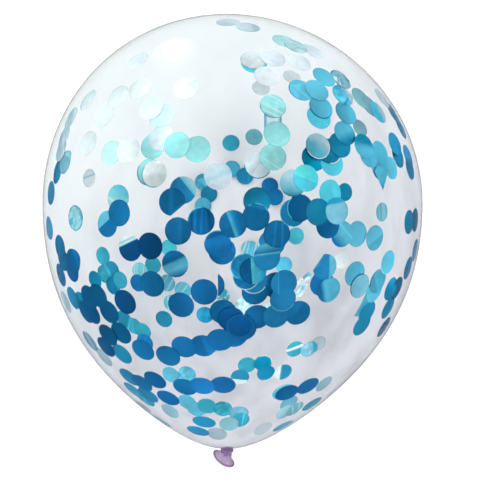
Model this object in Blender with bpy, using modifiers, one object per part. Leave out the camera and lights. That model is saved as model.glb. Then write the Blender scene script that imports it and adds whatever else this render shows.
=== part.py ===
"""Clear confetti balloon, inflated and tied off, lying on its side. Metres, +Z up.

The crown points along +Y and the knot along -Y. The balloon is one dipped piece of
latex: the envelope runs into a short neck, the neck is tied in an overhand knot, and
below the knot it flares into the mouth with its rolled lip. It is sealed, so the
envelope is solid here. The underside has a small flat spot, where it rests.
"""

import math

import bmesh
import bpy
from mathutils import Matrix, Vector

# Envelope, turned about the balloon's long axis
GIRTH_RADIUS = 0.140  # the widest ring
CROWN_RISE = 0.139  # from the widest ring up to the crown
TAIL_LENGTH = 0.1835  # from the widest ring down to where the tail would close
TAIL_TAPER = 0.34  # share of the radius that the tail has lost where it closes
TAIL_POWER = 3.2  # how late along the tail that loss comes
CENTRELINE_BOW = 0.0045  # how far the crown and the neck lean to -X of the girth
FLAT_SPOT_DEPTH = 0.0022  # height of the cap that the resting spot takes off
CROWN_STEPS = 20
TAIL_STEPS = 24
SIDES = 64

# Neck, between the envelope and the knot, where a ribbon or a stick's cup would hold it
NECK_RADIUS = 0.0040
NECK_FILLET = 0.0016
FILLET_STEPS = 3

# Knot, two turns of the tied neck round a core
KNOT_STAND_OUT = 0.0007  # how far the upper turn stands out past the neck
STRAP_THICKNESS = 0.0022
STRAP_WIDTH = 0.0032
LOWER_TURN_SHARE = 0.86  # outer radius of the lower turn against the upper one
LOWER_TURN_DROP = 0.0026  # from the upper turn's middle to the lower one's
LOWER_TURN_TILT = math.radians(24)
CORE_REACH = 0.0010  # how far the core passes the turns at its two ends
STRAP_SIDES = 8
TURN_SIDES = 28

# Mouth, a shallow funnel with a rolled lip
MOUTH_RADIUS = 0.0094
MOUTH_DEPTH = 0.0062
MOUTH_WALL = 0.0006
MOUTH_FLARE = 1.35  # above 1, the funnel opens faster towards its lip
MOUTH_WEB = 0.0012  # thickness of the gathered latex that closes the funnel's bottom
MOUTH_TURN = math.radians(36)  # from -Y towards -X
MOUTH_DROP = math.radians(14)  # below the horizontal
MOUTH_ROOT_DROP = 0.0004  # from the lower turn's middle down to the funnel's root
MOUTH_ROOT_SHIFT = -0.0006  # across, along X
LIP_BEAD_RADIUS = 0.0007
BEAD_START = math.radians(76)
BEAD_END = math.radians(-126)
BEAD_STEPS = 6
MOUTH_STEPS = 6
MOUTH_SIDES = 36

LATEX_CLEAR = (0.80, 0.80, 0.86, 0.30)
LATEX_MAUVE = (0.34, 0.19, 0.42, 1.0)


def clear_scene():
    for obj in list(bpy.data.objects):
        bpy.data.objects.remove(obj, do_unlink=True)


def collection(name):
    made = bpy.data.collections.new(name)
    bpy.context.scene.collection.children.link(made)
    return made


def latex(name, colour, roughness, transmission=0.0):
    """A Principled material for smooth dipped latex."""
    made = bpy.data.materials.new(name)
    made.use_nodes = True
    made.diffuse_color = colour
    shader = made.node_tree.nodes["Principled BSDF"]
    shader.inputs["Base Color"].default_value = colour[:3] + (1.0,)
    shader.inputs["Alpha"].default_value = colour[3]
    shader.inputs["Roughness"].default_value = roughness
    shader.inputs["Metallic"].default_value = 0.0
    shader.inputs["IOR"].default_value = 1.5
    shader.inputs["Transmission Weight"].default_value = transmission
    return made


def add_object(name, mesh, group, material):
    made = bpy.data.objects.new(name, mesh)
    made.data.materials.append(material)
    group.objects.link(made)
    return made


def as_cutter(obj):
    obj.hide_render = True
    obj.display_type = "WIRE"
    return obj


def turned(name, profile, sides, group, material):
    """The body that a profile of (radius, height) points, top to bottom, sweeps about local Z."""
    mesh = bpy.data.meshes.new(name)
    edges = [(i, i + 1) for i in range(len(profile) - 1)]
    mesh.from_pydata([(radius, 0.0, height) for radius, height in profile], edges, [])
    swept = add_object(name, mesh, group, material)
    screw = swept.modifiers.new("Turn", "SCREW")
    screw.axis = "Z"
    screw.steps = sides
    screw.render_steps = sides
    screw.use_merge_vertices = True
    screw.merge_threshold = 1e-6
    bpy.context.view_layer.update()
    graph = bpy.context.evaluated_depsgraph_get()
    solid = bpy.data.meshes.new_from_object(swept.evaluated_get(graph))
    swept.modifiers.clear()
    swept.data = solid
    bpy.data.meshes.remove(mesh)
    bm = bmesh.new()
    bm.from_mesh(solid)
    bmesh.ops.remove_doubles(bm, verts=bm.verts, dist=1e-6)
    bm.to_mesh(solid)
    bm.free()
    solid.name = name
    solid.shade_smooth()
    return swept


def tail_radius(angle):
    """Radius of the tail at an angle from 0, at the girth, to a right angle, where it closes."""
    loss = TAIL_TAPER * math.sin(angle) ** TAIL_POWER
    return GIRTH_RADIUS * math.cos(angle) * (1.0 - loss)


def angle_at_radius(radius):
    """The angle where the tail has drawn in to this radius."""
    low, high = 0.0, math.pi / 2
    for _ in range(50):
        middle = (low + high) / 2
        if tail_radius(middle) > radius:
            low = middle
        else:
            high = middle
    return (low + high) / 2


def envelope_profile():
    """(radius, height) from the crown down to the closed end of the neck, with the girth at height 0."""
    points = [(0.0, CROWN_RISE)]
    for i in range(1, CROWN_STEPS + 1):
        angle = math.pi / 2 * i / CROWN_STEPS
        points.append((GIRTH_RADIUS * math.sin(angle), CROWN_RISE * math.cos(angle)))
    last = angle_at_radius(NECK_RADIUS + NECK_FILLET)
    for i in range(1, TAIL_STEPS + 1):
        angle = last * i / TAIL_STEPS
        points.append((tail_radius(angle), -TAIL_LENGTH * math.sin(angle)))
    shoulder = points[-1][1]
    for i in range(1, FILLET_STEPS + 1):
        angle = math.pi / 2 * i / FILLET_STEPS
        radius = NECK_RADIUS + NECK_FILLET * (1.0 - math.sin(angle))
        points.append((radius, shoulder - NECK_FILLET * (1.0 - math.cos(angle))))
    inside_knot = neck_top() - STRAP_WIDTH / 2 - LOWER_TURN_DROP / 2
    return points + [(NECK_RADIUS, inside_knot), (0.0, inside_knot)]


def neck_top():
    """Height of the neck's upper end, where its fillet has run out."""
    shoulder = angle_at_radius(NECK_RADIUS + NECK_FILLET)
    return -TAIL_LENGTH * math.sin(shoulder) - NECK_FILLET


def bow_at(height):
    """How far the centreline stands to -X at this height above the girth."""
    reach = CROWN_RISE if height > 0 else neck_top()
    return -CENTRELINE_BOW * (height / reach) ** 2


def bowed(obj):
    """Leans the crown and the neck to the same side, as the unevenly blown envelope does."""
    for vertex in obj.data.vertices:
        vertex.co.x += bow_at(vertex.co.z)
    return obj


def knot_radius():
    return NECK_RADIUS + KNOT_STAND_OUT


def core_radius():
    """The core reaches to the middle of the strap that is wound round it."""
    return knot_radius() - STRAP_THICKNESS / 2


def knot_turn(name, outer_radius, place, tilt, group, material):
    """One turn of the tied neck: a ring with the strap's flat oval section."""
    ring_radius = outer_radius - STRAP_THICKNESS / 2
    oval = []
    for i in range(STRAP_SIDES + 1):
        angle = 2 * math.pi * i / STRAP_SIDES
        radius = ring_radius + STRAP_THICKNESS / 2 * math.sin(angle)
        oval.append((radius, STRAP_WIDTH / 2 * math.cos(angle)))
    ring = turned(name, oval, TURN_SIDES, group, material)
    ring.data.transform(place @ Matrix.Rotation(tilt, 4, "Y"))
    return as_cutter(ring)


def knot_core(name, place, group, material):
    """The gathered latex that the turns are wound round, as a long ball."""
    radius = core_radius()
    half_length = (STRAP_WIDTH + LOWER_TURN_DROP) / 2 + CORE_REACH
    mesh = bpy.data.meshes.new(name)
    bm = bmesh.new()
    bmesh.ops.create_uvsphere(bm, u_segments=TURN_SIDES, v_segments=STRAP_SIDES, radius=1.0)
    bmesh.ops.scale(bm, verts=bm.verts, vec=(radius, radius, half_length))
    bmesh.ops.transform(bm, verts=bm.verts, matrix=place)
    bm.to_mesh(mesh)
    bm.free()
    mesh.shade_smooth()
    return as_cutter(add_object(name, mesh, group, material))


def mouth_profile():
    """(radius, height) of the funnel, whose root is at height 0 and whose lip is below it."""
    root = core_radius()
    bead_ring = MOUTH_RADIUS - LIP_BEAD_RADIUS
    rim = LIP_BEAD_RADIUS - MOUTH_DEPTH
    outer, inner, bead = [], [], []
    for i in range(MOUTH_STEPS + 1):
        share = i / MOUTH_STEPS
        radius = root + (bead_ring - root) * share**MOUTH_FLARE
        outer.append((radius, rim * share))
        inner.append((radius - MOUTH_WALL, rim * share - MOUTH_WEB * (1 - share)))
    for i in range(BEAD_STEPS + 1):
        angle = BEAD_START + (BEAD_END - BEAD_START) * i / BEAD_STEPS
        across = bead_ring + LIP_BEAD_RADIUS * math.cos(angle)
        bead.append((across, rim + LIP_BEAD_RADIUS * math.sin(angle)))
    stub = [(0.0, root / 2), (root / 2, root / 2)]
    return stub + outer[:-1] + bead + inner[::-1] + [(0.0, -MOUTH_WEB)]


def mouth_funnel(lower_turn, group, material):
    """The flared end below the knot, turned aside and hanging a little."""
    root = Vector((MOUTH_ROOT_SHIFT, 0.0, -MOUTH_ROOT_DROP))
    place = lower_turn @ Matrix.Translation(root)
    place = place @ Matrix.Rotation(MOUTH_TURN, 4, "Y") @ Matrix.Rotation(MOUTH_DROP, 4, "X")
    funnel = turned("mouth_funnel", mouth_profile(), MOUTH_SIDES, group, material)
    funnel.data.transform(place)
    return as_cutter(funnel)


def ground_block(group, material):
    """A block whose top is the plane that the balloon rests on."""
    mesh = bpy.data.meshes.new("ground_block")
    bm = bmesh.new()
    bmesh.ops.create_cube(bm, size=1.0)
    side = 2 * GIRTH_RADIUS
    bmesh.ops.scale(bm, verts=bm.verts, vec=(side, side, side))
    bmesh.ops.translate(bm, verts=bm.verts, vec=(0.0, 0.0, -side / 2))
    bm.to_mesh(mesh)
    bm.free()
    return as_cutter(add_object("ground_block", mesh, group, material))


def boolean(target, operation, tool):
    modifier = target.modifiers.new(tool.name, "BOOLEAN")
    modifier.operation = operation
    modifier.solver = "EXACT"
    modifier.material_mode = "TRANSFER"
    modifier.object = tool


def lowest(obj):
    return min(vertex.co.z for vertex in obj.data.vertices)


def build_balloon():
    parts = collection("confetti_balloon")
    cutters = collection("confetti_balloon_cutters")
    clear = latex("clear latex", LATEX_CLEAR, roughness=0.06, transmission=1.0)
    mauve = latex("unstretched mauve latex", LATEX_MAUVE, roughness=0.32)

    balloon = bowed(turned("balloon", envelope_profile(), SIDES, parts, clear))
    neck = Matrix.Translation(Vector((bow_at(neck_top()), 0.0, neck_top())))
    upper = neck @ Matrix.Translation(Vector((0.0, 0.0, -STRAP_WIDTH / 2)))
    lower = upper @ Matrix.Translation(Vector((0.0, 0.0, -LOWER_TURN_DROP)))
    between = upper @ Matrix.Translation(Vector((0.0, 0.0, -LOWER_TURN_DROP / 2)))
    lower_radius = knot_radius() * LOWER_TURN_SHARE
    joined = [
        knot_core("knot_core", between, cutters, mauve),
        knot_turn("knot_upper_turn", knot_radius(), upper, 0.0, cutters, mauve),
        knot_turn("knot_lower_turn", lower_radius, lower, LOWER_TURN_TILT, cutters, mauve),
        mouth_funnel(lower, cutters, mauve),
    ]

    lying = bpy.data.objects.new("lying_on_its_side", None)
    parts.objects.link(lying)
    middle = (CROWN_RISE + lowest(joined[-1])) / 2
    lying.location = (0.0, -middle, GIRTH_RADIUS - FLAT_SPOT_DEPTH)
    lying.rotation_euler.x = -math.pi / 2
    for piece in [balloon] + joined:
        piece.parent = lying
    for piece in joined:
        boolean(balloon, "UNION", piece)
    boolean(balloon, "DIFFERENCE", ground_block(cutters, clear))
    return balloon


clear_scene()
build_balloon()
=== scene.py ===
"""The looks of a clear confetti balloon, inflated and tied off, lying on its side.

Metres, +Z up. The crown points along +Y and the knot along -Y, and the camera looks down on it.
"""

import math
import random

import bmesh
import bpy
from mathutils import Matrix, Vector
from mathutils.bvhtree import BVHTree


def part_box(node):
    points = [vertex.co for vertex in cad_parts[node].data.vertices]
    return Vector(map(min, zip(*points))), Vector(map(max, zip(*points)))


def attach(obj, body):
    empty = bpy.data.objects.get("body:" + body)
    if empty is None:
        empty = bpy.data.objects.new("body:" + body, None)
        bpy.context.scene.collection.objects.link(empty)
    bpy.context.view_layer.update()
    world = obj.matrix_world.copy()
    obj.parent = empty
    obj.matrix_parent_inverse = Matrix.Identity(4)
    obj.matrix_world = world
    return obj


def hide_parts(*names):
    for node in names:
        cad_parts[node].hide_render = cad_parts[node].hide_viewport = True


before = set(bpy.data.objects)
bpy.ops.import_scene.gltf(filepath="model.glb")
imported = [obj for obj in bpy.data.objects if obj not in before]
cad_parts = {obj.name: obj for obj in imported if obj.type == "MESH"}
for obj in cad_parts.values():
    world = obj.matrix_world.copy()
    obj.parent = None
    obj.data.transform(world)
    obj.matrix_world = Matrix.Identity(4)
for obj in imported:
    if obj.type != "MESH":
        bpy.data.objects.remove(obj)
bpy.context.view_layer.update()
box_low, box_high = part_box("balloon")

MM = 0.001

# Envelope, as in the solid
GIRTH_RADIUS = (box_high.x - box_low.x) / 2
CROWN_RISE = 0.139
TAIL_LENGTH = 0.1835
TAIL_TAPER = 0.34
TAIL_POWER = 3.2
CENTRELINE_BOW = 0.0045
NECK_RADIUS = 0.0040
NECK_FILLET = 0.0016
AXIS_HEIGHT = box_high.z - GIRTH_RADIUS
GIRTH_Y = box_high.y - CROWN_RISE

# Film: blown latex, with its wall drawn about as thin as the render can hold
FILM_WALL = 0.25 * MM
STRETCH_AND_REFLECTION_WAY = Vector((-0.5, 0.87, 0.0))  # toward the part of the crown that was blown thinnest, where the film's colour is also painted paler as a painted reflection of the room's light
CLEARING = (-0.08, 0.15)  # metres along that way, from cloudy to clear
CLOUDS_PER_METRE = Vector((1 / 0.032, 1 / 0.065, 1 / 0.032))
CLOUD_EDGES = (0.34, 0.56)  # of the noise, from the densest cloud to none
CLOUD_PAINTED_SHADES = (0.88, 0.98)  # how much light the darkest cloud passes, where cloudy and where clear: painted grey shade in the film's colour
TURNED_SIDES = 144  # round the film, and round the knot's turns and the mouth
CROWN_STEPS = 48
TAIL_STEPS = 84
FILLET_STEPS = 5

# Knot and mouth, as in the solid
KNOT_STAND_OUT = 0.0007
STRAP_THICKNESS = 0.0022
STRAP_WIDTH = 0.0032
LOWER_TURN_DROP = 0.0026
LOWER_TURN_TILT = math.radians(24)
CORE_REACH = 0.0010
MOUTH_RADIUS = 0.0094
MOUTH_DEPTH = 0.0062
MOUTH_WALL = 0.0006
MOUTH_FLARE = 1.35
MOUTH_WEB = 0.0012
LIP_BEAD_RADIUS = 0.0007

# Pleats of the gathered latex, and the mouth's profile and lie, finer than the solid's
LOWER_TURN_SHARE = 0.76  # of the upper turn's radius, as the next share is
CROSSING_SHARE = 1.03
CROSSING_WIDTH = 0.0020
CROSSING_TILT = math.radians(-42)
MOUTH_TURN = math.radians(32)
MOUTH_DROP = math.radians(10)
MOUTH_ROOT_RISE = 0.5 * MM
MOUTH_ROOT_SHIFT = 0.2 * MM
TIE_PAINTED_SHADE = 0.45  # how dark the knot is where it bites into the neck: painted shade there, on latex gathered tightest
TIE_DEPTH = 2.6 * MM
STRAP_SIDES = 20
CORE_SIDES = 48
KNOT_PLEATS = 17
KNOT_PLEAT_DEPTH = 0.30 * MM
MOUTH_PLEATS = 13
MOUTH_PLEAT_DEPTH = 0.28 * MM
MOUTH_PLEAT_HOLD = 1.6  # more than 1, so that the pleats only start to fade below the root
MOUTH_PLEAT_FADE = 2.6 * MM
MOUTH_STEPS = 18
LIP_WAVE = 0.3 * MM
ROLL_START = math.radians(76)
ROLL_SWEEP = math.radians(202)
ROLL_STEPS = 16

# Confetti: discs punched from metallised film, clinging to the inside of the wall
DISC_RADIUS = 8.1 * MM
DISC_THICKNESS = 0.10 * MM
DISC_SIDES = 18
CUT_EDGE = 0.07  # of the radius: the rim that the punch turned down, painted darker
CUT_EDGE_PAINTED_SHADE = 0.40  # how much darker that rim is painted, as painted shade on the turned-down edge, where the foil is darkest
FLAP_GAP = 0.15 * MM  # between a disc and its part that is folded over
LIT_FACETS = 0.35  # share of a crumpled disc's facets painted its other tone, as painted light
FOLD_ANGLE = math.radians(12)  # a sharper bend than this shows as a crease
FIRST_GAP = 0.45 * MM  # from the film's outer face to the outermost discs
LAYER_STEP = 0.22 * MM  # from there to the discs that lie over them, and so on
OVERLAP = 1.9  # discs nearer than this many radii are on different layers
SHADE_SPREAD = 0.07  # how much the discs of one lacquer differ
PAINTED_FALL_OFF = 0.12  # how much lighter one side of a disc is painted than the other, as painted light
DIMPLE_SIZE = 3.5 * MM
DIMPLE_DEPTH = 0.25 * MM
DIMPLE_PAINTED_SHADES = (0.78, 1.22)

# Finishes of the discs that are told to have any, and how often each comes. Most paint light and shade on the
# disc: lighter or darker halves, painted highlight lines and painted highlights along scuffs
NEAR_FINISHES = {"plain": 5, "halved": 3, "lined": 1, "scuffed": 1, "curled": 1}
FAR_FINISHES = {"plain": 4, "halved": 2, "scuffed": 4, "crumpled": 2}

# Picture frame of the photograph, and the camera that looks straight down
PICTURE_WIDTH = 480
PICTURE_HEIGHT = 481
FOCAL_PIXELS = 736
SENSOR = 36.0
CAMERA_HEIGHT = 0.56  # above the balloon's axis
CAMERA_SPOT = Vector((0.0053, 0.0035, AXIS_HEIGHT + CAMERA_HEIGHT))
EDGE_STEP = 0.995  # how much nearer to the picture's middle a point off the balloon is moved at a time
EDGE_STEPS = 60

# The room's brightness, where the floor's paper in full light is 1. Overhead and underneath it is
# patchy: how fine, and how bright at the dimmest and the brightest
HORIZON = 0.95
OVERHEAD = (4.0, 0.225, 1.275)
UNDERNEATH = (7.0, 0.028, 0.182)
PATCH_EDGES = (0.44, 0.56)  # of the noise, from dim to bright
# The sines of the angles up and down between which the white round the horizon runs out
ABOVE_EDGES = (0.28, 0.52)
BELOW_EDGES = (-0.04, -0.28)
# The sky's two soft lamps: the way to each, how many degrees its core and its glow reach, and how bright
WINDOW = ((-0.65, 0.75, 0.05), 8, 42, 0.7)
SKYLIGHT = ((-0.36, 0.64, 0.66), 6, 28, 0.6)
CEILING_HEIGHT = 2.2
CEILING_RADIANCE = 0.63
# The lamp of the film's hot spot: where in the picture the film mirrors it, which way it stands from
# there, how large it is, and how bright within each share of that size, from the core outward
HOT_SPOT = (176, 53)
SOFTBOX_WAY = Vector((-0.34, 0.92, -0.19))
SOFTBOX_DISTANCE = 0.6
SOFTBOX_SIZE = (0.11, 0.20)
SOFTBOX_RINGS = ((0.7, 40), (1.0, 20), (1.4, 10), (1.9, 6))

FLOOR_RADIUS = 12.0
FLOOR_SIDES = 96
FLOOR_DROP = 0.3 * MM

scene = bpy.context.scene


def srgb(hex_code):
    """The linear colour of an sRGB hex value."""
    channels = []
    for start in (0, 2, 4):
        value = int(hex_code[start:start + 2], 16) / 255
        channels.append(value / 12.92 if value <= 0.04045 else ((value + 0.055) / 1.055) ** 2.4)
    return (*channels, 1.0)


def add_node(tree, kind, links=(), **settings):
    """A node with its settings, and its inputs linked or set from (input, socket or value) pairs."""
    node = tree.nodes.new(kind)
    for name, value in settings.items():
        setattr(node, name, value)
    for name, value in links:
        if isinstance(value, bpy.types.NodeSocket):
            tree.links.new(value, node.inputs[name])
        else:
            node.inputs[name].default_value = value
    return node


def blank_material(name):
    made = bpy.data.materials.new(name)
    made.use_nodes = True
    return made, made.node_tree, made.node_tree.nodes["Principled BSDF"]


def set_shader(shader, **values):
    for name, value in values.items():
        shader.inputs[name.replace("_", " ")].default_value = value


def ranged(tree, value, low, high, to_low=0.0, to_high=1.0, smooth="LINEAR"):
    """A value moved from one range to another, and held at its ends."""
    links = [("Value", value), ("From Min", low), ("From Max", high), ("To Min", to_low), ("To Max", to_high)]
    return add_node(tree, "ShaderNodeMapRange", links, interpolation_type=smooth).outputs["Result"]


def noise(tree, place, scale, detail):
    links = [("Vector", place), ("Scale", scale), ("Detail", detail)]
    return add_node(tree, "ShaderNodeTexNoise", links).outputs["Fac"]


def dot(tree, first, second):
    links = [(0, first), (1, second)]
    return add_node(tree, "ShaderNodeVectorMath", links, operation="DOT_PRODUCT").outputs["Value"]


def scaled(tree, colour, factor):
    links = [(0, colour), ("Scale", factor)]
    return add_node(tree, "ShaderNodeVectorMath", links, operation="SCALE").outputs["Vector"]


def mixed_colour(tree, share, low, high):
    links = [(0, share), (6, srgb(low)), (7, srgb(high))]
    return add_node(tree, "ShaderNodeMix", links, data_type="RGBA").outputs[2]


def colour_with(tree, shader, colour):
    tree.links.new(colour, shader.inputs["Base Color"])


def dent_with(tree, shader, height, strength, depth):
    links = [("Height", height), ("Strength", strength), ("Distance", depth)]
    tree.links.new(add_node(tree, "ShaderNodeBump", links).outputs["Normal"], shader.inputs["Normal"])


def film_latex():
    """Clear dipped latex, blown tight: glassy, clearest and palest toward the upper crown, where it stretched
    most and where a painted reflection of the room's light lies.

    Faint drawn-out grey clouds run along it: painted shade in its colour, denser where it is less clear. Its
    IOR is under that of solid latex, because this wall is drawn thicker than the real one.
    """
    made, tree, shader = blank_material("clear blown latex")
    place = add_node(tree, "ShaderNodeTexCoord").outputs["Object"]
    clearness = ranged(tree, dot(tree, place, STRETCH_AND_REFLECTION_WAY), *CLEARING, smooth="SMOOTHSTEP")
    # paler and mintier toward the upper crown: thinner latex there, with a painted reflection of the room's
    # light
    tint = mixed_colour(tree, clearness, "e7e8ec", "f1f5f6")
    links = [(0, place), (1, CLOUDS_PER_METRE)]
    drawn_out = add_node(tree, "ShaderNodeVectorMath", links, operation="MULTIPLY").outputs["Vector"]
    densest = ranged(tree, clearness, 0.0, 1.0, *CLOUD_PAINTED_SHADES)
    # painted shade: drawn-out grey clouds darken the film's colour, most where it is least clear
    painted_shade_clouds = ranged(tree, noise(tree, drawn_out, 1.0, 3.0), *CLOUD_EDGES, densest, 1.0)
    colour_with(tree, shader, scaled(tree, tint, painted_shade_clouds))
    set_shader(shader, Roughness=0.03, IOR=1.06, Transmission_Weight=1.0)
    return made


def mottled(tree, shader, grain_size, detail, dark, light):
    """Latex that varies between two tones over spots of this size. Also gives what it is made from."""
    place = add_node(tree, "ShaderNodeTexCoord").outputs["Object"]
    grain = noise(tree, place, 1 / grain_size, detail)
    tone = mixed_colour(tree, grain, dark, light)
    colour_with(tree, shader, tone)
    return place, grain, tone


def knot_latex():
    """The same latex unstretched: gathered many layers deep, so its mauve shows and it dulls to satin.

    It is darkest at the top, where the tie bites into the neck: painted shade, on latex gathered tightest
    there.
    """
    made, tree, shader = blank_material("gathered mauve latex")
    place, grain, tone = mottled(tree, shader, 1.8 * MM, 3.0, "553369", "a886bc")
    along = add_node(tree, "ShaderNodeSeparateXYZ", [("Vector", place)]).outputs["Y"]
    tie = GIRTH_Y + neck_top()
    # painted shade, darkest at the knot's top under the neck
    shade = ranged(tree, along, tie - TIE_DEPTH, tie, 1.0, TIE_PAINTED_SHADE)
    colour_with(tree, shader, scaled(tree, tone, shade))
    dent_with(tree, shader, grain, 0.25, 0.2 * MM)
    set_shader(shader, Roughness=0.34, IOR=1.52, Subsurface_Weight=0.25, Subsurface_Scale=0.0012)
    return made


def lip_latex():
    """One unstretched wall of the same latex: paler mauve, a little light comes through it."""
    made, tree, shader = blank_material("single mauve latex")
    mottled(tree, shader, 1.5 * MM, 3.0, "8d6ca3", "d6c4dd")
    set_shader(shader, Roughness=0.30, IOR=1.52, Transmission_Weight=0.35)
    return made


def roll_latex():
    """The lip's roll, several walls thick: between the knot's mauve and the single wall's, softly glossy."""
    made, tree, shader = blank_material("rolled mauve latex")
    mottled(tree, shader, 1.8 * MM, 2.0, "755a80", "a088ab")
    set_shader(shader, Roughness=0.26, IOR=1.52, Transmission_Weight=0.15)
    return made


# The foil's lacquers, each by what it passes back. They are shades of one blue foil: partly its own colour,
# partly the painted reflection of the light and shade it mirrors where it lies, paler toward the crown's
# bright side
LACQUERS_AND_PAINTED_LIGHT = {
    "deep": "105488",
    "abyss": "0a5f8a",
    "brine": "066e92",
    "steel": "13689c",
    "ink": "115f9c",
    "navy": "1c7ab0",
    "marine": "1c79b6",
    "royal": "2a8fd8",
    "blue": "2a94cb",
    "azure": "2fa6d2",
    "lagoon": "5cc2de",
    "sky": "6acde6",
    "cyan": "5cdaee",
    "aqua": "9fe9e8",
    "mint": "c4eeeb",
    "mist": "e2eded",
    "lilac": "eaf4fa",
    "ice": "bce9f3",
    "veil": "d8eaf2",
    "pale": "eefbfb",
    "teal": "3fb2c9",
    "reef": "84d0dc",
    "tide": "1c8cb2",
    "petrol": "0a90b4",
    "pond": "2f98bc",
    "spray": "86d0e4",
    "frost": "96d0d8",
    "slate": "86b4c0",
    "fog": "b4d2d8",
    "smoke": "c2d6d9",
}


def foil():
    """Metallised film under tinted lacquer: satin, a little mirroring, faintly dimpled from the punch. Its
    colour is painted darker and lighter with the dimples, as painted shade and light.
    """
    made, tree, shader = blank_material("lacquered foil")
    # each disc's colour, with its painted light and shade
    lacquer_and_painted_light = add_node(tree, "ShaderNodeAttribute", attribute_name="lacquer_and_painted_light").outputs["Color"]
    place = add_node(tree, "ShaderNodeTexCoord").outputs["Object"]
    dimples = noise(tree, place, 1 / DIMPLE_SIZE, 2.0)
    # painted shade and light of the dimples: the colour follows the same noise as their bump
    dimple_painted_shade = ranged(tree, dimples, 0.0, 1.0, *DIMPLE_PAINTED_SHADES)
    colour_with(tree, shader, scaled(tree, lacquer_and_painted_light, dimple_painted_shade))
    dent_with(tree, shader, dimples, 0.35, DIMPLE_DEPTH)
    set_shader(
        shader,
        Metallic=0.60,
        Roughness=0.20,
        Specular_IOR_Level=0.0,  # the lacquer itself shows no white gloss, edge on least of all
        Specular_Tint=srgb("1c8cb0"),  # the lacquer tints even what the metal mirrors edge on
    )
    return made


def floor_paper():
    """Matt white background paper."""
    made, tree, shader = blank_material("white background paper")
    set_shader(shader, Base_Color=srgb("f2f2f2"), Roughness=0.95)
    return made


def tail_radius(angle):
    """Radius of the tail at an angle from 0, at the girth, to a right angle, where it closes."""
    loss = TAIL_TAPER * math.sin(angle) ** TAIL_POWER
    return GIRTH_RADIUS * math.cos(angle) * (1.0 - loss)


def angle_at_radius(radius):
    """The angle where the tail has drawn in to this radius."""
    low, high = 0.0, math.pi / 2
    for _ in range(50):
        middle = (low + high) / 2
        if tail_radius(middle) > radius:
            low = middle
        else:
            high = middle
    return (low + high) / 2


def neck_top():
    """Height of the neck's upper end, where its fillet has run out."""
    shoulder = angle_at_radius(NECK_RADIUS + NECK_FILLET)
    return -TAIL_LENGTH * math.sin(shoulder) - NECK_FILLET


def bow_at(height):
    """How far the centreline stands to -X at this height above the girth."""
    reach = CROWN_RISE if height > 0 else neck_top()
    return -CENTRELINE_BOW * (height / reach) ** 2


def envelope_radius(height):
    """The envelope's radius at this height above the girth."""
    if height > 0:
        return GIRTH_RADIUS * math.sqrt(max(0.0, 1.0 - (height / CROWN_RISE) ** 2))
    share = min(1.0, -height / TAIL_LENGTH)
    return GIRTH_RADIUS * math.sqrt(1.0 - share * share) * (1.0 - TAIL_TAPER * share**TAIL_POWER)


def envelope_profile():
    """(radius, height) from the crown down to the closed end of the neck, inside the knot."""
    points = [(0.0, CROWN_RISE)]
    for i in range(1, CROWN_STEPS + 1):
        angle = math.pi / 2 * i / CROWN_STEPS
        points.append((GIRTH_RADIUS * math.sin(angle), CROWN_RISE * math.cos(angle)))
    last = angle_at_radius(NECK_RADIUS + NECK_FILLET)
    for i in range(1, TAIL_STEPS + 1):
        angle = last * i / TAIL_STEPS
        points.append((tail_radius(angle), -TAIL_LENGTH * math.sin(angle)))
    shoulder = points[-1][1]
    for i in range(1, FILLET_STEPS + 1):
        angle = math.pi / 2 * i / FILLET_STEPS
        radius = NECK_RADIUS + NECK_FILLET * (1.0 - math.sin(angle))
        points.append((radius, shoulder - NECK_FILLET * (1.0 - math.cos(angle))))
    inside_knot = neck_top() - STRAP_WIDTH / 2 - LOWER_TURN_DROP / 2
    return points + [(NECK_RADIUS, inside_knot), (0.0, inside_knot)]


# The balloon is shaped upright about its long axis, and this lays it on its side
LYING = Matrix.Translation((0.0, GIRTH_Y, AXIS_HEIGHT)) @ Matrix.Rotation(-math.pi / 2, 4, "X")


def turned(profile):
    """A bmesh of the surface that a profile of (radius, height) points sweeps about local Z."""
    bm = bmesh.new()
    verts = [bm.verts.new((radius, 0.0, height)) for radius, height in profile]
    edges = [bm.edges.new(pair) for pair in zip(verts, verts[1:])]
    bmesh.ops.spin(
        bm,
        geom=verts + edges,
        cent=(0.0, 0.0, 0.0),
        axis=(0.0, 0.0, 1.0),
        angle=2 * math.pi,
        steps=TURNED_SIDES,
        use_merge=True,
    )
    bmesh.ops.remove_doubles(bm, verts=bm.verts, dist=1e-6)
    bmesh.ops.recalc_face_normals(bm, faces=bm.faces)
    return bm


def finished(name, bm, *materials):
    """The object that a bmesh makes, at the origin, shaded smooth."""
    mesh = bpy.data.meshes.new(name)
    bm.to_mesh(mesh)
    bm.free()
    mesh.shade_smooth()
    for material in materials:
        mesh.materials.append(material)
    made = bpy.data.objects.new(name, mesh)
    scene.collection.objects.link(made)
    return made


def take_in(bm, other):
    """Adds another bmesh to this one, and frees it."""
    mesh = bpy.data.meshes.new("taken_in")
    other.to_mesh(mesh)
    other.free()
    bm.from_mesh(mesh)
    bpy.data.meshes.remove(mesh)


def part_of_balloon(piece):
    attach(piece, "root")
    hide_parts("balloon")
    return piece


def envelope_surface():
    """The blown skin's outer surface, bowed, laid down, and pressed flat where it rests."""
    bm = turned(envelope_profile())
    for vert in bm.verts:
        vert.co.x += bow_at(vert.co.z)
    bmesh.ops.transform(bm, matrix=LYING, verts=bm.verts)
    for vert in bm.verts:
        vert.co.z = max(vert.co.z, 0.0)
    return bm


def envelope_film():
    """The blown skin as a thin closed wall."""
    film = finished("envelope_film", envelope_surface(), film_latex())
    wall = film.modifiers.new("wall", "SOLIDIFY")
    wall.thickness = FILM_WALL
    wall.offset = -1.0
    film.visible_shadow = False
    film.visible_diffuse = False
    return part_of_balloon(film)


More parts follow.
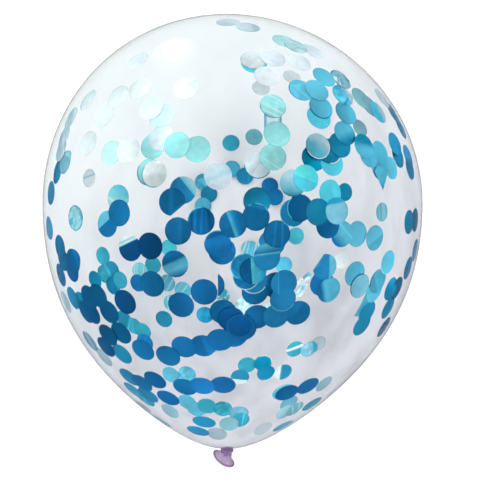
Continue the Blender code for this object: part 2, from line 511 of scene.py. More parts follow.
def wall_gap(point):
    """How far a point is inside the film, measured across it, and the outward normal there."""
    local = LYING.inverted() @ point
    step = 0.05 * MM

    def excess(at):
        return math.hypot(at.x - bow_at(at.z), at.y) - envelope_radius(at.z)

    base = excess(local)
    slope = Vector(
        [
            (excess(local + Vector(axis) * step) - excess(local - Vector(axis) * step)) / (2 * step)
            for axis in ((1, 0, 0), (0, 1, 0), (0, 0, 1))
        ]
    )
    normal = (LYING.to_3x3() @ slope).normalized()
    return -base / slope.length, normal


def wall_tree():
    """The film's shape, to shoot lines of sight at."""
    bm = envelope_surface()
    tree = BVHTree.FromBMesh(bm)
    bm.free()
    return tree


WALL = wall_tree()


def on_wall(x, y, far):
    """Where the line of sight through a picture point meets the near or the far wall.

    A point just off the balloon's edge is drawn in until its line of sight meets it.
    """
    middle = Vector((PICTURE_WIDTH / 2, PICTURE_HEIGHT / 2))
    offset = Vector((x, y)) - middle
    for _ in range(EDGE_STEPS):
        sight = Vector((offset.x, -offset.y, -FOCAL_PIXELS)).normalized()
        hit = WALL.ray_cast(CAMERA_SPOT, sight)[0]
        if hit is not None:
            break
        offset *= EDGE_STEP
    if far:
        beyond = WALL.ray_cast(hit + sight * 0.5 * MM, sight)[0]
        hit = beyond or hit
    return hit


def in_picture(point):
    """Where in the picture a point is seen."""
    sight = point - CAMERA_SPOT
    scale = FOCAL_PIXELS / -sight.z
    return Vector((PICTURE_WIDTH / 2 + sight.x * scale, PICTURE_HEIGHT / 2 - sight.y * scale))


def tinted(shade, strength):
    """A lacquer's colour, made lighter or darker."""
    red, green, blue, alpha = srgb(LACQUERS_AND_PAINTED_LIGHT[shade])
    return Vector((min(1.0, red * strength), min(1.0, green * strength), min(1.0, blue * strength), alpha))


class Disc:
    """One punched disc laid flat: X to the picture's right, Y up it, and Z toward the balloon's inside.

    A way is the direction a line runs in, in degrees from the picture's right, turning left, and what is
    to the left of the line is beyond it. Where a line lies is given as a share of the radius. A tone is a
    factor on the foil's colour there, or the name of another of its shades. Tones paint light and shade onto
    the foil.
    """

    def __init__(self, shade, strength, far):
        self.strength = strength
        self.seen_side = 1 if far else -1
        self.bm = bmesh.new()
        self.lacquer_and_painted_light = self.bm.loops.layers.float_color.new("lacquer_and_painted_light")
        bmesh.ops.create_circle(self.bm, cap_ends=True, segments=DISC_SIDES, radius=DISC_RADIUS)
        edge = bmesh.ops.inset_region(
            self.bm, faces=self.bm.faces[:], thickness=DISC_RADIUS * CUT_EDGE, use_boundary=True
        )["faces"]
        self.paint(self.bm.faces, shade)
        # painted shade along the cut edge, less where the foil is paler
        self.paint(edge, 1.0 - CUT_EDGE_PAINTED_SHADE * (1.0 - max(tinted(shade, strength)[:3])))
        self.cut(Vector((1.0, 0.0, 0.0)), 0.0)
        self.cut(Vector((0.0, 1.0, 0.0)), 0.0)

    def toned(self, colour, tone):
        if isinstance(tone, str):
            return tinted(tone, self.strength)
        return Vector((*(min(1.0, channel * tone) for channel in colour[:3]), 1.0))

    def paint(self, faces, tone):
        for face in faces:
            for loop in face.loops:
                loop[self.lacquer_and_painted_light] = self.toned(loop[self.lacquer_and_painted_light], tone)

    def cut(self, across, at):
        """New edges on the straight line that lies this far from the centre."""
        geometry = self.bm.verts[:] + self.bm.edges[:] + self.bm.faces[:]
        bmesh.ops.bisect_plane(self.bm, geom=geometry, plane_co=across * at, plane_no=across)

    def beyond(self, across, at):
        return [face for face in self.bm.faces if face.calc_center_median().dot(across) > at]

    def sheen(self, way, *stops):
        """Painted highlights and shade: lighter and darker tones that run into one another across this way,
        each told as its place and then itself.
        """
        across = square_to(way)
        places = [at * DISC_RADIUS for at in stops[::2]]
        tones = stops[1::2]
        for place in places:
            self.cut(across, place)
        for face in self.bm.faces:
            passed = sum(place < face.calc_center_median().dot(across) for place in places)
            low, high = max(0, passed - 1), min(passed, len(places) - 1)
            width = places[high] - places[low]
            for loop in face.loops:
                share = (loop.vert.co.dot(across) - places[low]) / width if width > 0 else 0.0
                first = self.toned(loop[self.lacquer_and_painted_light], tones[low])
                last = self.toned(loop[self.lacquer_and_painted_light], tones[high])
                loop[self.lacquer_and_painted_light] = first.lerp(last, min(1.0, max(0.0, share)))

    def streaks(self, way, seed, tone, count=3):
        """Fine scuffs, all nearly one way, painted in another tone: painted highlights where lighter, painted
        shade where darker.
        """
        chance = random.Random(seed)
        for _ in range(count):
            at, half = chance.uniform(-0.75, 0.75), chance.uniform(0.02, 0.07)
            along = way + chance.uniform(-7, 7)
            self.sheen(along, at - 2 * half, 1.0, at - half, tone, at + half, tone, at + 2 * half, 1.0)

    def glint(self, way, spread, tone):
        """A stretch of the rim, round this direction from the middle, painted in its own tone: a painted
        highlight where lighter, painted shade where darker.
        """
        middle = Vector((math.cos(math.radians(way)), math.sin(math.radians(way)), 0.0))
        reach = math.cos(math.radians(spread))
        on_rim = []
        for face in self.bm.faces:
            spot = face.calc_center_median()
            spot.z = 0.0
            if spot.length > (1.0 - 0.8 * CUT_EDGE) * DISC_RADIUS and spot.normalized().dot(middle) > reach:
                on_rim.append(face)
        self.paint(on_rim, tone)

    def crease(self, way, at, rise, tone=1.0):
        """Bent up along a line. What is beyond it may be painted another tone: painted light where lighter,
        painted shade where darker.
        """
        across = square_to(way)
        line = at * DISC_RADIUS
        self.cut(across, line)
        self.paint(self.beyond(across, line), tone)
        slope = math.tan(math.radians(rise))
        for vert in self.bm.verts:
            vert.co.z += slope * max(0.0, vert.co.dot(across) - line)

    def curl(self, way, at, rise, tone=1.0):
        """Rolled up beyond a line, in three narrow flats, the first of them painted in its own tone as
        painted light.
        """
        for i in range(3):
            self.crease(way, at + i * (1.0 - at) / 3, rise / 3, tone if i == 0 else 1.0)

    def crumple(self, depth, seed, contrast=0.3, tone=None):
        """Pressed into small facets, each painted a little lighter or darker as painted light and shade, and
        some painted another tone.
        """
        chance = random.Random(seed)
        folds = []
        for way in (10, 70, 130):
            for at in (-0.5, 0.0, 0.5):
                across = square_to(way + chance.uniform(-22, 22))
                folds.append((across, DISC_RADIUS * (at + chance.uniform(-0.2, 0.2))))
                self.cut(*folds[-1])
        for vert in self.bm.verts:
            vert.co.z += depth * MM * chance.random()
        facets = {}
        for face in self.bm.faces:
            spot = face.calc_center_median()
            sides = tuple(spot.dot(across) > line for across, line in folds)
            facets.setdefault(sides, []).append(face)
        for faces in facets.values():
            lit = tone is not None and chance.random() < LIT_FACETS
            self.paint(faces, tone if lit else 1.0 + chance.uniform(-contrast, contrast))

    def trim(self, way, at):
        """Cut off beyond a line."""
        across = square_to(way)
        self.cut(across, at * DISC_RADIUS)
        bmesh.ops.delete(self.bm, geom=self.beyond(across, at * DISC_RADIUS), context="FACES")

    def turn_over(self, way, at, tone):
        """The part beyond a line folded back over the seen side, showing its other face."""
        across = square_to(way)
        line = at * DISC_RADIUS
        self.cut(across, line)
        flap = bmesh.ops.split(self.bm, geom=self.beyond(across, line))["geom"]
        faces = [part for part in flap if isinstance(part, bmesh.types.BMFace)]
        self.paint(faces, tone)
        for vert in {vert for face in faces for vert in face.verts}:
            vert.co -= 2.0 * (vert.co.dot(across) - line) * across
            vert.co.z += FLAP_GAP * self.seen_side
        bmesh.ops.reverse_faces(self.bm, faces=faces)


def square_to(way):
    """The direction across a line that runs this way."""
    angle = math.radians(way)
    return Vector((-math.sin(angle), math.cos(angle), 0.0))


class Confetti:
    """One mesh of discs on one wall. Each disc lies inside those before it where they overlap."""

    def __init__(self, far, seed):
        self.far = far
        self.bm = bmesh.new()
        self.placed = []
        self.seed = seed

    def free_layer(self, spot):
        under = [layer for other, layer in self.placed if (other - spot).length < OVERLAP * DISC_RADIUS]
        return max(under, default=-1) + 1

    def usual(self, finish, chance):
        """The bends and painted light and shade of a finish that many discs share. Each disc's are a little
        different.
        """
        way, at, seed = chance.uniform(0, 360), chance.uniform(-0.3, 0.5), chance.randrange(1000)
        rise, change = chance.uniform(2, 6), chance.choice((0.72, 0.82, 1.25, 1.4))
        return {
            "plain": [],
            "halved": [("crease", way, at, rise, change)],
            "lined": [("sheen", way, at - 0.06, 1.0, at, 1.7, at + 0.06, 1.0)],
            "scuffed": [("streaks", 84 + way / 30, seed, 1.5, 3)],
            "curled": [("curl", way, 0.5, 24, 1.35)],
            "crumpled": [("crumple", 0.3, seed)],
        }[finish]

    def add(self, x, y, shade, *bends):
        chance = random.Random(self.seed + PICTURE_WIDTH * y + x)
        disc = Disc(shade, chance.uniform(1 - SHADE_SPREAD, 1 + SHADE_SPREAD), self.far)
        # painted light: every disc a little lighter on one side than the other
        disc.sheen(chance.uniform(0, 360), -1.0, 1 - PAINTED_FALL_OFF, 1.0, 1 + PAINTED_FALL_OFF)
        shares = FAR_FINISHES if self.far else NEAR_FINISHES
        for bend in bends:
            if bend == "any":
                bend = chance.choices(list(shares), shares.values())[0]
            for kind, *values in self.usual(bend, chance) if isinstance(bend, str) else [bend]:
                getattr(disc, kind)(*values)
        bmesh.ops.solidify(disc.bm, geom=disc.bm.faces[:], thickness=DISC_THICKNESS)
        self.cling(disc.bm, Vector((x, y)))
        bmesh.ops.recalc_face_normals(disc.bm, faces=disc.bm.faces)
        take_in(self.bm, disc.bm)

    def cling(self, bm, seen_at):
        """Lays a flat disc on the wall where it is seen here, each of its points as deep as its Z says."""
        spot = on_wall(*seen_at, self.far)
        layer = self.free_layer(spot)
        self.placed.append((spot, layer))
        outward = wall_gap(spot)[1]
        aim = seen_at.copy()
        gap = FIRST_GAP + layer * LAYER_STEP
        # The disc lies inside the wall, so its spot on the wall moves until it is seen where it should be
        for _ in range(3):
            aim += seen_at - in_picture(spot - outward * gap)
            spot = on_wall(*aim, self.far)
            outward = wall_gap(spot)[1]
        right = (Vector((1.0, 0.0, 0.0)) - outward.x * outward).normalized()
        up = outward.cross(right)
        if up.y < 0:
            up = -up
        for vert in bm.verts:
            depth = gap + vert.co.z
            point = spot + vert.co.x * right + vert.co.y * up
            inside, outward = wall_gap(point)
            point += outward * (inside - depth)
            point.z = max(point.z, depth)
            vert.co = point

    def finish(self, name):
        piece = finished(name, self.bm, FOIL)
        piece.data.set_sharp_from_angle(angle=FOLD_ANGLE)
        return part_of_balloon(piece)


FOIL = foil()

# Each group names where it clings. Its discs are in picture points, outermost first. Each tells its
# lacquer, and then its folds and painted highlights and shade, or a finish that many share, or any of
# those. One that tells nothing more is plain
NEAR_GROUPS = {
    "crown": [
        (248, 27, "mist", ("glint", 262, 60, "teal"), ("crease", -90, 0.35, 4, 0.85)),
        (228, 22, "pale", "any"),
        (296, 46, "smoke", ("crumple", 0.2, 3, 0.12, "mint"), ("glint", 225, 50, "teal")),
        (284, 41, "mint", ("glint", 60, 60, "teal")), (313, 51, "lilac", "any"),
        (382, 98, "mist", "scuffed"), (273, 58, "lilac"), (267, 76, "lilac"), (253, 60, "mist"),
        (254, 64, "cyan"), (299, 62, "lilac"), (137, 61, "lilac"),
    ],
    "upper left haze": [
        (151, 108, "veil"), (161, 115, "mint"), (186, 88, "mist"), (140, 88, "mist"), (118, 96, "mist"),
        (104, 116, "mist"), (88, 143, "mist"), (177, 145, "aqua"), (161, 138, "veil"), (153, 146, "aqua"),
        (128, 150, "pale"), (111, 153, "mint"), (197, 149, "aqua"),
        (154, 174, "pale", ("crumple", 0.1, 4, 0.05), ("glint", 215, 70, "teal")),
        (149, 172, "aqua", ("glint", 215, 60, "petrol")),
    ],
    "left rim chain": [
        (88, 100, "mist", "scuffed"), (71, 118, "smoke", "scuffed"), (64, 137, "smoke", "scuffed"),
        (61, 150, "smoke", "scuffed"), (65, 162, "slate", "any"), (57, 172, "petrol", "any"),
        (51, 193, "petrol", "any"), (49, 228, "petrol", "halved"),
        (75, 218, "frost", ("crumple", 0.4, 5, 0.3, "lagoon"), ("glint", 90, 180, "petrol")),
    ],
    "left middle": [
        (119, 213, "navy"),
        (118, 198, "sky", ("sheen", 150, -0.6, 1.15, 0.3, "aqua", 0.36, "pale", 0.5, "aqua")),
        (107, 224, "navy", ("crease", 35, 0.17, 6, "sky")), (150, 246, "deep"), (152, 284, "navy"),
        (
            130, 248, "deep",
            ("sheen", 25, 0.36, 1.0, 0.42, "aqua", 0.55, "pale", 0.62, "sky", 0.75, "pale"),
        ),
    ],
    "left lower rim": [
        (73, 261, "steel", "any"), (60, 247, "brine", "scuffed"), (63, 259, "brine", "any"),
        (72, 270, "steel", "any"), (61, 275, "brine", "scuffed"), (98, 296, "abyss"),
        (89, 297, "abyss", "any"), (109, 312, "abyss"), (125, 302, "deep"),
        (92, 313, "abyss", ("crease", 100, 0.2, 5, 0.8)), (86, 312, "abyss", "any"),
        (73, 298, "petrol", "scuffed"), (82, 303, "petrol", "any"), (66, 302, "smoke", "scuffed"),
        (108, 335, "abyss"), (121, 333, "abyss"), (106, 347, "abyss"), (122, 354, "pond"),
        (90, 341, "slate", ("sheen", 120, -0.1, 1.0, 0.0, "pale", 0.12, 1.0)),
    ],
    "upper middle": [
        (
            218, 176, "ice", ("glint", 300, 25, "navy"),
            ("sheen", 20, -0.2, "veil", -0.1, 0.95, 0.6, "veil"),
        ),
        (172, 202, "navy", ("sheen", 90, -0.3, 0.8, 0.1, 1.25, 0.3, 0.9), ("turn_over", 219, 0.71, 1.25)),
        (183, 190, "blue", ("sheen", -50, -0.2, 0.8, 0.38, 1.0, 0.4, "sky", 0.9, "ice")),
        (
            201, 221, "steel", ("streaks", 88, 6, 1.5, 3), ("streaks", 96, 2, 0.7, 2),
            ("glint", 135, 50, "cyan"),
        ),
        (178, 231, "navy", ("sheen", -90, 0.14, 0.85, 0.24, 1.15, 0.26, 0.66)),
        (233, 224, "navy", ("sheen", -70, -0.7, 0.85, -0.2, 0.95, -0.1, "lagoon", 0.2, 1.4, 0.5, 1.0)),
        (256, 217, "navy", ("sheen", 165, -0.9, 1.0, -0.7, 1.5, -0.6, 1.0), ("glint", 75, 50, "sky")),
        (257, 201, "tide", ("sheen", 0, -0.6, 1.3, 0.4, 0.85)),
        (
            218, 244, "marine", ("sheen", 20, -0.5, 0.95, 0.2, 1.25, 0.5, 1.1, 0.6, 0.75),
            ("glint", 90, 80, "sky"),
        ),
        (222, 251, "marine", ("sheen", 140, -0.9, 1.3, -0.4, 0.9)),
        (175, 264, "marine", ("sheen", 25, -0.9, 1.0, -0.35, "sky", 0.1, "lagoon", 0.3, 0.8, 0.8, 1.2)),
    ],
    "aqua column": [
        (
            273, 106, "aqua", ("crumple", 0.1, 4, 0.1), ("streaks", 150, 5, "mint", 3),
            ("glint", 235, 55, "teal"),
        ),
        (277, 134, "aqua"),
        (
            273, 120, "veil", ("sheen", 90, -0.65, "petrol", -0.3, 1.0, 0.4, 1.0, 0.65, "petrol"),
            ("trim", 90, 0.65), ("trim", -90, 0.65),
        ),
        (273, 157, "aqua", ("sheen", 149, 0.41, 1.12, 0.47, "pale", 0.53, 1.12)),
        (258, 165, "veil", ("sheen", 50, -0.1, 1.0, -0.05, 0.8, 0.5, 1.05), ("glint", 250, 75, "petrol")),
        (306, 178, "cyan", "halved"),
        (293, 183, "sky", ("sheen", 0, -0.95, 0.5, -0.6, 1.0, 0.5, "ice"), ("glint", 270, 50, "navy")),
    ],
    "upper right": [
        (317, 90, "sky", ("sheen", 80, -0.8, 0.8, 0.6, 1.0)), (324, 77, "sky"),
        (301, 90, "sky", ("glint", 200, 50, "petrol"), ("crumple", 0.1, 2, 0.12)),
        (321, 107, "lagoon", ("sheen", 80, -0.8, 1.0, 0.4, 0.8), ("glint", 250, 75, "navy")),
        (319, 117, "cyan"),
        (341, 79, "slate", ("crumple", 0.5, 5, 0.35, "mist"), ("glint", 120, 70, "petrol")),
        (343, 95, "lagoon", ("crumple", 0.3, 7, 0.25), ("sheen", -60, 0.3, 1.0, 0.8, "smoke")),
        (346, 113, "lagoon", ("sheen", -60, -0.8, 0.75, 0.7, 1.1)),
        (361, 98, "frost", ("sheen", -50, -0.4, 0.85, 0.6, "slate")),
        (378, 112, "lagoon", ("sheen", -55, 0.0, 1.0, 0.7, "smoke")), (370, 106, "slate"),
        (393, 113, "petrol"), (401, 128, "petrol"),
        (345, 133, "lagoon", ("sheen", 30, -0.6, "tide", 0.1, 1.0)),
        (318, 146, "sky", ("sheen", -30, -0.2, 1.0, 0.5, "ice"), ("glint", 300, 80, "pale")),
        (340, 145, "tide", ("sheen", 30, -0.4, 1.2, 0.4, 0.8)),
        (330, 151, "tide", ("crumple", 0.1, 3, 0.12), ("glint", 310, 40, "pale")),
        (314, 158, "petrol", "halved"), (332, 163, "cyan"),
        (364, 146, "lagoon", ("sheen", 5, -0.2, 1.0, 0.35, "tide")), (369, 155, "lagoon"),
        (380, 153, "lagoon"),
        (
            382, 178, "lagoon", ("sheen", 10, -0.9, "azure", -0.1, 1.0), ("trim", 127, 0.49),
            ("trim", -114, 0.48),
        ),
        (380, 168, "lagoon"), (391, 168, "sky", ("glint", 0, 180, "pale")), (395, 144, "azure", "lined"),
        (398, 156, "pond"), (408, 156, "petrol", "halved"), (410, 168, "petrol"),
    ],
    "right": [
        (337, 211, "spray", ("sheen", 10, 0.5, 1.0, 0.62, "azure")), (318, 212, "tide"),
        (300, 208, "steel", ("glint", 180, 45, "cyan")), (328, 225, "steel"),
        (331, 193, "cyan", ("curl", -80, 0.2, 20, 1.2)), (293, 213, "blue", ("glint", 200, 70, "cyan")),
        (277, 234, "navy", ("streaks", 90, 3, 1.4, 2)),
        (342, 234, "sky", ("sheen", -45, -0.8, "marine", -0.1, 0.9, 0.3, 1.0, 0.4, 1.3, 0.5, 1.0)),
        (357, 234, "sky"), (375, 238, "sky", "halved"), (409, 222, "petrol"), (415, 220, "brine"),
        (388, 262, "sky", ("glint", 0, 180, "mint")), (408, 268, "petrol"), (415, 250, "petrol"),
    ],
    "right lower": [
        (325, 267, "blue", ("sheen", -90, 0.3, 1.0, 0.45, "sky"), ("turn_over", 52, 0.69, 1.0)),
        (329, 290, "lagoon", ("sheen", -80, -0.65, "navy", -0.3, 1.1)), (322, 283, "marine"),
        (360, 286, "spray", ("glint", 145, 65, "deep")), (355, 274, "lagoon"),
        (378, 281, "lagoon", ("glint", 150, 40, "deep"), ("sheen", 110, 0.3, 1.0, 0.35, 0.7)),
        (374, 291, "sky"), (367, 312, "pond", ("glint", 150, 60, "sky")),
        (361, 305, "lagoon", ("trim", 55, 0.1)), (362, 325, "pond"), (391, 289, "petrol", "halved"),
        (397, 288, "brine"), (388, 308, "petrol"), (384, 327, "brine"),
    ],
    "heart": [
        (267, 257, "blue", ("sheen", 6, 0.1, 1.0, 0.26, "sky", 0.32, 0.7, 0.9, "lagoon")),
        (272, 243, "blue", ("glint", 225, 45, "pale")),
        (
            253, 271, "steel", ("sheen", -86, -0.14, 1.0, -0.08, "cyan", 0.8, "azure"),
            ("crumple", 0.1, 6, 0.12),
        ),
        (244, 267, "blue", ("crumple", 0.2, 3, 0.2), ("glint", 170, 70, "cyan")),
        (246, 277, "navy", ("glint", 240, 80, "ice")), (254, 281, "blue", ("glint", 250, 70, "ice")),
        (284, 283, "blue", ("sheen", -90, -0.46, 1.0, -0.42, 1.8, -0.36, 1.0)),
        (283, 299, "blue", ("glint", 270, 60, "sky")), (255, 292, "navy"), (275, 285, "navy"),
        (298, 313, "navy", ("crease", 60, 0.1, 5, 1.25)), (276, 316, "blue"),
        (240, 326, "ink", ("glint", 0, 180, "marine")), (243, 329, "marine"),
        (231, 319, "ink", ("sheen", 10, 0.3, 1.0, 0.8, 1.3)), (223, 312, "marine"), (257, 317, "marine"),
        (204, 292, "marine"), (181, 305, "marine"), (211, 285, "navy", ("trim", 90, -0.5)),
    ],
    "long sweep": [
        (143, 350, "navy"), (168, 356, "navy"), (184, 347, "marine"), (203, 346, "marine", "halved"),
        (220, 340, "marine"), (234, 336, "marine"),
    ],
    "lower middle": [
        (202, 386, "royal"), (223, 385, "royal", ("sheen", -90, -0.4, 0.7, 0.4, 0.6)), (185, 387, "navy"),
        (168, 398, "marine"), (155, 380, "steel"), (142, 383, "navy"), (129, 377, "pond"),
        (148, 395, "pond"), (133, 390, "teal"), (145, 399, "teal", "scuffed"), (308, 386, "navy"),
        (287, 393, "steel"), (284, 392, "sky"), (312, 404, "teal"), (283, 426, "sky"),
        (204, 422, "azure"), (198, 431, "azure"), (104, 357, "smoke", "any"), (126, 393, "smoke", "any"),
        (141, 408, "smoke", "any"), (161, 423, "slate", "any"),
    ],
}

FAR_GROUPS = {
    "upper": [
        (231, 143, "teal", "any"), (254, 137, "reef"), (261, 88, "mist"), (292, 77, "mist"),
        (89, 178, "mist", ("sheen", 0, 0.1, 1.0, 0.2, "teal", 0.3, 1.0)),
    ],
    "middle": [
        (203, 182, "sky", "any"), (209, 194, "pond"), (203, 206, "sky"), (232, 169, "lagoon"),
        (245, 176, "azure", "lined"), (270, 186, "navy", "any"), (275, 197, "navy"), (345, 192, "tide"),
        (360, 128, "slate", "any"), (382, 212, "frost", ("streaks", 90, 5, "teal", 3)),
        (342, 260, "mist"), (296, 236, "cyan", ("sheen", 160, -0.2, 1.0, 0.5, 0.75)),
        (250, 249, "sky", ("streaks", 75, 2, "ice", 3)), (284, 265, "lagoon"),
        (169, 248, "cyan", ("sheen", 30, -1.0, 1.3, 1.0, 1.1)),
        (167, 283, "sky", ("streaks", 70, 8, "ice", 3)), (153, 265, "teal", "any"),
        (140, 271, "reef", "any"), (138, 283, "marine"), (183, 290, "sky", ("streaks", 60, 9, "ice", 2)),
        (221, 296, "sky", ("crumple", 0.4, 2, 0.3, "pale")),
        (205, 315, "azure", ("crumple", 0.4, 4, 0.3)), (172, 303, "sky", "any"),
        (305, 280, "spray", ("trim", 35, 0.5), ("trim", 215, 0.3), ("crumple", 0.4, 5, 0.2, "pale")),
        (301, 290, "ice", ("trim", 50, 0.3), ("trim", 230, 0.5), ("crumple", 0.4, 6, 0.3, "pale")),
        (268, 305, "mint", ("trim", 30, 0.2)), (243, 306, "ice", ("crumple", 0.4, 8, 0.2, "pale")),
        (164, 319, "pond"), (103, 256, "teal", "any"), (215, 344, "sky", "any"),
    ],
    "lower left": [
        (112, 270, "pond"), (104, 274, "teal", "crumpled"), (95, 280, "tide"),
        (113, 286, "tide", "crumpled"), (120, 280, "teal"), (124, 319, "pond"), (134, 326, "teal", "any"),
        (143, 331, "teal", "any"), (145, 342, "marine", "any"),
    ],
    "lower": [
        (247, 365, "teal", ("streaks", 20, 4, 0.8, 3)), (263, 363, "petrol", ("glint", 45, 60, "pale")),
        (266, 373, "tide", ("glint", 300, 50, "pale")),
        (283, 372, "pond", ("sheen", -100, -0.35, "pale", -0.2, 1.0)),
        (240, 377, "pond", ("crease", 170, 0.35, 5, "pale")),
        (171, 375, "sky", ("crease", 30, 0.1, 6, 0.9)), (187, 374, "sky", "crumpled"),
        (318, 344, "smoke"),
        (295, 349, "teal", ("sheen", 5, -0.1, 1.0, 0.0, "pale", 0.25, "pale", 0.35, 1.0)),
        (309, 349, "spray", ("sheen", -90, 0.4, 1.0, 0.6, "teal"), ("crumple", 0.2, 5, 0.1, "ice")),
        (289, 403, "spray"), (285, 412, "ice"), (295, 409, "frost", "any"), (324, 384, "fog", "any"),
        (187, 402, "sky"), (196, 409, "sky"), (207, 406, "teal", "any"), (223, 409, "teal", "crumpled"),
        (239, 414, "spray", ("crease", 60, 0.2, 8, 0.85), ("glint", 45, 50, "navy")),
        (240, 420, "teal", "scuffed"), (229, 424, "frost"), (217, 434, "smoke"), (263, 429, "mist"),
        (170, 411, "ice"),
    ],
}


def confetti_on(wall_name, groups, far, seed):
    discs = Confetti(far, seed)
    for group in groups.values():
        for disc in group:
            discs.add(*disc)
    return discs.finish(wall_name)


def gather(bm, pleats, depth):
    """Presses uneven pleats along local Z into a turned shape, as deep as depth tells at a height."""
    for vert in bm.verts:
        radius = math.hypot(vert.co.x, vert.co.y)
        if radius < 0.5 * MM:  # the very middle isn't pleated
            continue
        angle = math.atan2(vert.co.y, vert.co.x)
        wave = 0.65 * math.sin(pleats * angle) + 0.35 * math.sin((2 * pleats - 3) * angle + 1.0)
        grown = 1.0 + depth(vert.co.z) * wave / radius
        vert.co.x *= grown
        vert.co.y *= grown


def strap_section(ring_radius, width):
    """(radius, height) round the flat oval of the strap, closed."""
    points = []
    for i in range(STRAP_SIDES + 1):
        angle = 2 * math.pi * i / STRAP_SIDES
        points.append((ring_radius + STRAP_THICKNESS / 2 * math.sin(angle), width / 2 * math.cos(angle)))
    return points


def neck_place():
    return Matrix.Translation((bow_at(neck_top()), 0.0, neck_top()))


def knot():
    """Two turns of the tied neck and the band that crosses them, round a gathered core."""
    upper = neck_place() @ Matrix.Translation((0.0, 0.0, -STRAP_WIDTH / 2))
    lower = upper @ Matrix.Translation((0.0, 0.0, -LOWER_TURN_DROP))
    between = upper @ Matrix.Translation((0.0, 0.0, -LOWER_TURN_DROP / 2))
    outer = NECK_RADIUS + KNOT_STAND_OUT
    bm = bmesh.new()
    for radius, width, place, tilt in (
        (outer, STRAP_WIDTH, upper, 0.0),
        (outer * LOWER_TURN_SHARE, STRAP_WIDTH, lower, LOWER_TURN_TILT),
        (outer * CROSSING_SHARE, CROSSING_WIDTH, between, CROSSING_TILT),
    ):
        ring = turned(strap_section(radius - STRAP_THICKNESS / 2, width))
        gather(ring, KNOT_PLEATS, lambda height: KNOT_PLEAT_DEPTH)
        bmesh.ops.transform(ring, matrix=place @ Matrix.Rotation(tilt, 4, "Y"), verts=ring.verts)
        take_in(bm, ring)
    ball = bmesh.ops.create_uvsphere(bm, u_segments=CORE_SIDES, v_segments=CORE_SIDES // 2, radius=1.0)
    core = ball["verts"]
    core_radius = outer - STRAP_THICKNESS / 2
    half_length = (STRAP_WIDTH + LOWER_TURN_DROP) / 2 + CORE_REACH
    bmesh.ops.scale(bm, verts=core, vec=(core_radius, core_radius, half_length))
    bmesh.ops.transform(bm, matrix=between, verts=core)
    bmesh.ops.transform(bm, matrix=LYING, verts=bm.verts)
    return part_of_balloon(finished("knot", bm, knot_latex()))


# The circle that the lip's roll runs round, as (radius, height) in the mouth
ROLL_MIDDLE = Vector((MOUTH_RADIUS - LIP_BEAD_RADIUS, LIP_BEAD_RADIUS - MOUTH_DEPTH))


def mouth_profile():
    """(radius, height) of the funnel, whose root is at height 0 and whose lip is below it."""
    root = NECK_RADIUS + KNOT_STAND_OUT - STRAP_THICKNESS / 2
    outer, inner, roll = [], [], []
    for i in range(MOUTH_STEPS + 1):
        share = i / MOUTH_STEPS
        radius = root + (ROLL_MIDDLE.x - root) * share**MOUTH_FLARE
        outer.append((radius, ROLL_MIDDLE.y * share))
        inner.append((radius - MOUTH_WALL, ROLL_MIDDLE.y * share - MOUTH_WEB * (1 - share)))
    for i in range(ROLL_STEPS + 1):
        angle = ROLL_START - ROLL_SWEEP * i / ROLL_STEPS
        across = ROLL_MIDDLE.x + LIP_BEAD_RADIUS * math.cos(angle)
        roll.append((across, ROLL_MIDDLE.y + LIP_BEAD_RADIUS * math.sin(angle)))
    stub = [(0.0, root / 2), (root / 2, root / 2)]
    return stub + outer[:-1] + roll + inner[::-1] + [(0.0, -MOUTH_WEB)]


def mouth():
    """The flared end below the knot: pleated from the tie, and rolled at its lip."""
    place = neck_place() @ Matrix.Translation((0.0, 0.0, -STRAP_WIDTH / 2 - LOWER_TURN_DROP))
    place = place @ Matrix.Translation((MOUTH_ROOT_SHIFT, 0.0, MOUTH_ROOT_RISE))
    place = place @ Matrix.Rotation(MOUTH_TURN, 4, "Y") @ Matrix.Rotation(MOUTH_DROP, 4, "X")
    bm = turned(mouth_profile())
    for face in bm.faces:
        middle = face.calc_center_median()
        from_roll = Vector((math.hypot(middle.x, middle.y), middle.z)) - ROLL_MIDDLE
        face.material_index = 1 if from_roll.length < 1.05 * LIP_BEAD_RADIUS else 0

    def pleat_depth(height):
        return MOUTH_PLEAT_DEPTH * min(1.0, max(0.0, MOUTH_PLEAT_HOLD + height / MOUTH_PLEAT_FADE))

    gather(bm, MOUTH_PLEATS, pleat_depth)
    for vert in bm.verts:
        angle = math.atan2(vert.co.y, vert.co.x)
        vert.co.z += LIP_WAVE * math.cos(2 * angle) * min(1.0, max(0.0, -vert.co.z / MOUTH_DEPTH))
    bmesh.ops.transform(bm, matrix=LYING @ place, verts=bm.verts)
    return part_of_balloon(finished("mouth_and_lip", bm, lip_latex(), roll_latex()))


def studio_floor():
    bm = bmesh.new()
    bmesh.ops.create_circle(bm, cap_ends=True, segments=FLOOR_SIDES, radius=FLOOR_RADIUS)
    bmesh.ops.translate(bm, verts=bm.verts, vec=(0.0, 0.0, -FLOOR_DROP))
    floor = finished("floor", bm, floor_paper())
    floor.visible_glossy = False  # the film mirrors the room's dark half there, as one held in the air does
    return floor


def glow_toward(tree, looking, toward, inner, outer, radiance):
    """The light of a soft round lamp in the sky, by how near a direction comes to its middle."""
    nearness = dot(tree, looking, Vector(toward).normalized())
    edge, core = math.cos(math.radians(outer)), math.cos(math.radians(inner))
    return ranged(tree, nearness, edge, core, 0.0, radiance, "SMOOTHERSTEP")


def blend(tree, factor, low, high):
    return add_node(tree, "ShaderNodeMix", [("Factor", factor), ("A", low), ("B", high)]).outputs["Result"]


def added(tree, first, second):
    return add_node(tree, "ShaderNodeMath", [(0, first), (1, second)], operation="ADD").outputs[0]


def patchy(tree, looking, scale, dim, bright):
    """A room's fittings out of focus: patches of the sky between two brightnesses."""
    return ranged(tree, noise(tree, looking, scale, 1.0), *PATCH_EDGES, dim, bright, "SMOOTHSTEP")


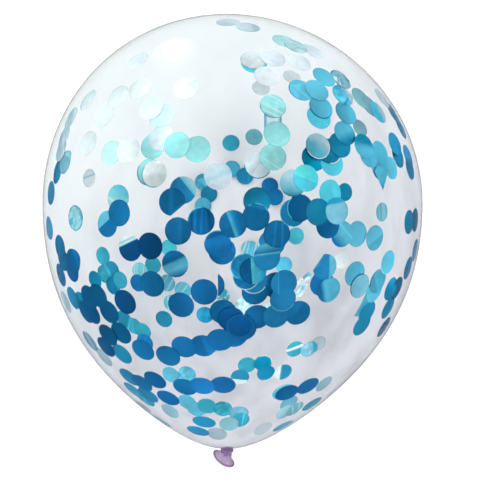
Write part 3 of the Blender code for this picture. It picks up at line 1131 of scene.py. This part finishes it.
def studio_world():
    """White round the horizon and dim above and below it, so the film stays clear, with two soft lamps."""
    world = bpy.data.worlds.new("studio")
    world.use_nodes = True
    scene.world = world
    tree = world.node_tree
    back = tree.nodes["Background"]
    back.inputs["Color"].default_value = (1.0, 1.0, 1.0, 1.0)
    looking = add_node(tree, "ShaderNodeTexCoord").outputs["Generated"]
    height = add_node(tree, "ShaderNodeSeparateXYZ", [("Vector", looking)]).outputs["Z"]
    above = ranged(tree, height, *ABOVE_EDGES, smooth="SMOOTHSTEP")
    below = ranged(tree, height, *BELOW_EDGES, smooth="SMOOTHSTEP")
    upper = blend(tree, above, HORIZON, patchy(tree, looking, *OVERHEAD))
    room = blend(tree, below, upper, patchy(tree, looking, *UNDERNEATH))
    lamps = added(tree, glow_toward(tree, looking, *WINDOW), glow_toward(tree, looking, *SKYLIGHT))
    tree.links.new(added(tree, room, lamps), back.inputs["Strength"])
    return world


def lamp(name, shape, spot, aim, size, radiance):
    light = bpy.data.lights.new(name, "AREA")
    light.shape = shape
    light.size, light.size_y = size
    light.energy = radiance * size[0] * size[1] * math.pi
    made = bpy.data.objects.new(name, light)
    scene.collection.objects.link(made)
    made.location = spot
    made.rotation_euler = (Vector(aim) - Vector(spot)).to_track_quat("-Z", "Y").to_euler()
    made.visible_camera = False
    made.visible_transmission = False
    return made


def ceiling_light():
    """Lights the floor and the foil evenly from above, and is mirrored in nothing."""
    side = 2 * FLOOR_RADIUS
    spot = (0.0, 0.0, CEILING_HEIGHT)
    made = lamp("ceiling_light", "RECTANGLE", spot, (0.0, 0.0, 0.0), (side, side), CEILING_RADIANCE)
    made.visible_glossy = False


def softbox(film):
    """A soft lamp that only the film takes up, as its round hot spot."""
    lit = bpy.data.collections.new("lit_by_softbox")
    lit.objects.link(film)
    aim = on_wall(*HOT_SPOT, far=False)
    spot = aim + SOFTBOX_WAY.normalized() * SOFTBOX_DISTANCE
    for i, (spread, radiance) in enumerate(SOFTBOX_RINGS):
        size = [side * spread for side in SOFTBOX_SIZE]
        made = lamp(f"softbox_{i}", "ELLIPSE", spot, aim, size, radiance)
        made.visible_diffuse = False
        made.light_linking.receiver_collection = lit


def studio_camera():
    data = bpy.data.cameras.new("camera")
    data.sensor_width = SENSOR
    data.lens = SENSOR * FOCAL_PIXELS / PICTURE_HEIGHT
    data.clip_start = 0.01
    camera = bpy.data.objects.new("camera", data)
    camera.location = CAMERA_SPOT
    scene.collection.objects.link(camera)
    scene.camera = camera


studio_camera()
studio_floor()
studio_world()
ceiling_light()
softbox(envelope_film())
knot()
mouth()
confetti_on("confetti_on_near_wall", NEAR_GROUPS, far=False, seed=11)
confetti_on("confetti_on_far_wall", FAR_GROUPS, far=True, seed=23)

scene.view_settings.view_transform = "Standard"
scene.cycles.caustics_refractive = False
scene.cycles.caustics_reflective = False
scene.cycles.max_bounces = 16
scene.cycles.transmission_bounces = 14
scene.cycles.transparent_max_bounces = 16
